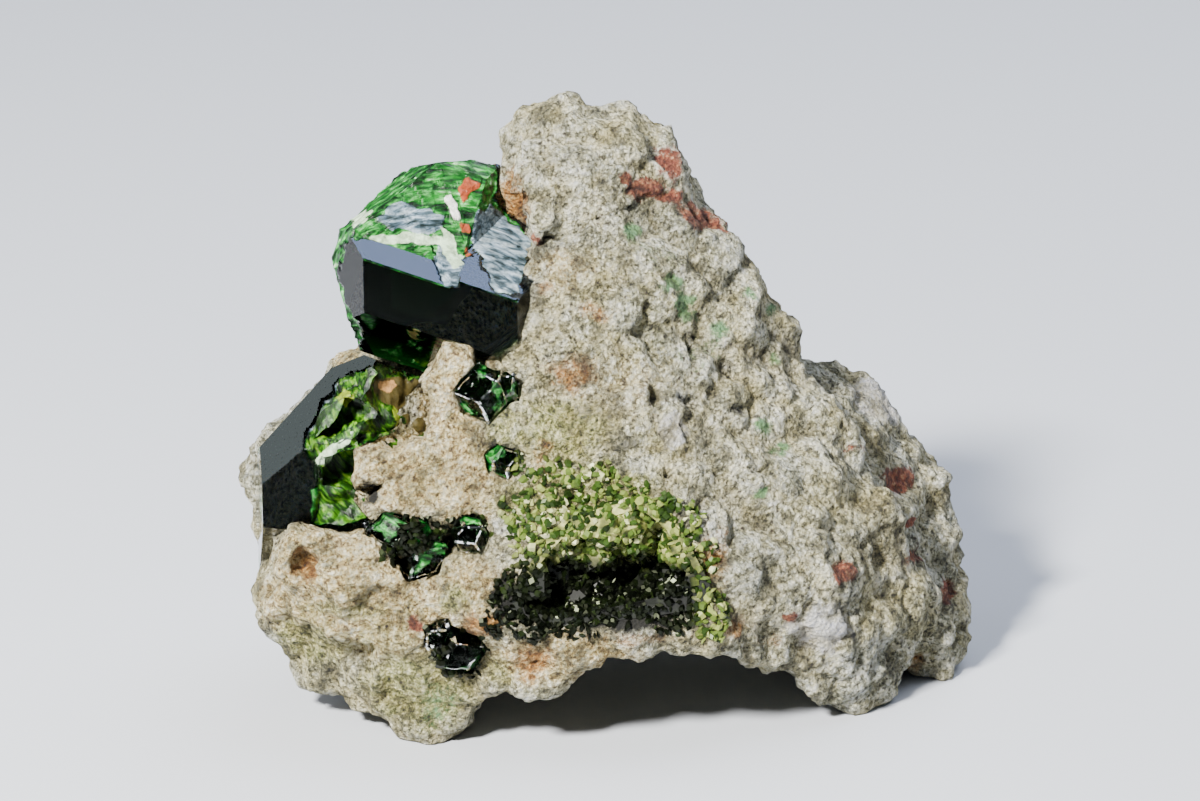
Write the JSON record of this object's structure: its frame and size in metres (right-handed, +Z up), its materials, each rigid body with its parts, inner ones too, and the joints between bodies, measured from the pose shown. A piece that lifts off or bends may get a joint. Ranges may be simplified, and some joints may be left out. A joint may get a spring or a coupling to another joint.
{
  "type": "mineral specimen",
  "caption": "Natural garnet specimen: two large green dodecahedral crystals grown on rough pale rock that stands on its own feet over an arched hollow",
  "frame": {"origin": "middle of the bounding box's bottom face, on the plane the feet stand on", "axes": "+Z up; the side with the crystals' faces and the hollow's mouth looks along -Y; +X to the right of it"},
  "size_m": [0.0382, 0.0244, 0.0313],
  "materials": {
    "rock": "rough",
    "demantoid": "polished",
    "druse": "glossy"
  },
  "bodies": {
    "root": {"matrix": "rock", "upper_garnet": "demantoid", "lower_garnet": "demantoid", "side_garnet": "demantoid", "glint_garnet": "demantoid", "ledge_garnets": "demantoid", "rim_garnet": "demantoid", "foot_garnet": "demantoid", "hollow_crystals": "druse"}
  },
  "joints": []
}
